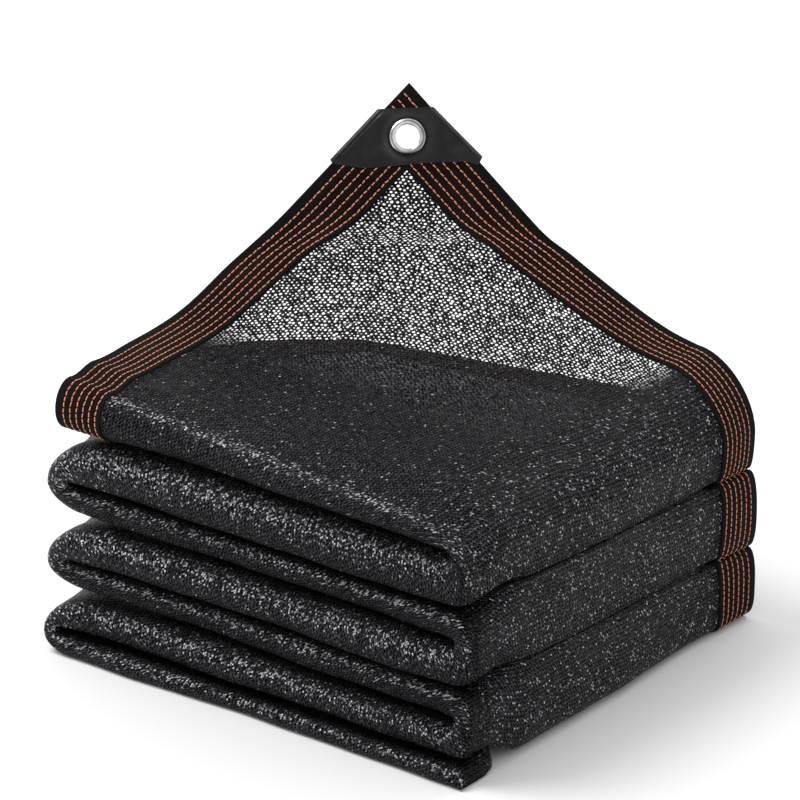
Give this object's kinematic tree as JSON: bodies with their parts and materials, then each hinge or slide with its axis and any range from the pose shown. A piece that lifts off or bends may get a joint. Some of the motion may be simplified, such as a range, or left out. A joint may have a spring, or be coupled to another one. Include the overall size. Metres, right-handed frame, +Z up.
{
  "type": "folded shade cloth",
  "caption": "Black knitted shade net with a stitched edge binding, folded into a square stack, one corner raised to show its plastic patch and metal eyelet.",
  "frame": {"origin": "on the floor, under the middle of the whole object's box", "axes": "+X runs to the right along the folded front, +Y runs from the folded front to the open back edges, +Z is up"},
  "size_m": [0.3747, 0.3505, 0.3738],
  "materials": {
    "knitted_net": "slightly glossy black knitted tape yarn",
    "edge_binding": "ribbed dark brown and black woven binding with six rows of salmon stitching",
    "patch_plastic": "semi-gloss black sheet plastic",
    "eyelet_metal": "polished"
  },
  "bodies": {
    "root": {"net_cloth": "knitted_net", "side_binding_a": "edge_binding", "side_binding_b": "edge_binding", "end_binding": "edge_binding", "corner_patch": "patch_plastic", "eyelet_ring": "eyelet_metal"}
  },
  "joints": []
}
